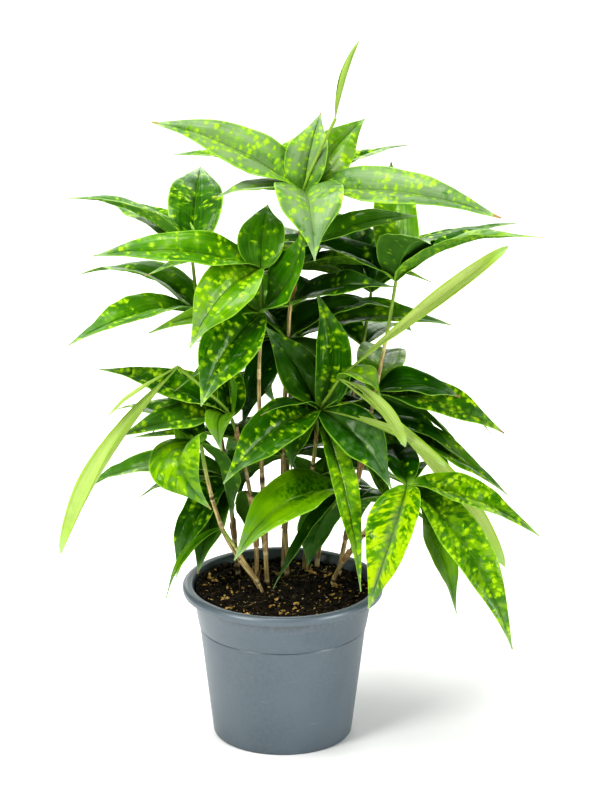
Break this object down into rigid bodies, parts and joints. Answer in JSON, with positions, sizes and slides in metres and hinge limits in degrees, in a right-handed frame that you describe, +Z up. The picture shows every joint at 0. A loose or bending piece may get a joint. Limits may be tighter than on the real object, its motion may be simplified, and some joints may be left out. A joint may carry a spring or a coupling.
{
  "type": "potted gold dust dracaena",
  "caption": "Bushy potted dracaena: leafy canes with whorls of glossy yellow-speckled leaves, standing in soil in a round tapered nursery pot.",
  "frame": {"origin": "centre of the pot's base, on the surface that the pot stands on", "axes": "+Z up along the pot's axis, -Y toward the viewer of the plant's best side, +X to that viewer's right"},
  "size_m": [0.2817, 0.2251, 0.4242],
  "materials": {
    "pot_plastic": "satin",
    "soil": "matte",
    "leafy_stem": "satin"
  },
  "bodies": {
    "root": {"pot": "pot_plastic", "soil": "soil", "stem_left_low": "leafy_stem", "stem_left_mid": "leafy_stem", "stem_front_tall": "leafy_stem", "stem_centre": "leafy_stem", "stem_right_low": "leafy_stem", "stem_tall": "leafy_stem", "stem_right": "leafy_stem", "stem_back": "leafy_stem", "stem_back_left": "leafy_stem", "stem_back_right": "leafy_stem"}
  },
  "joints": []
}
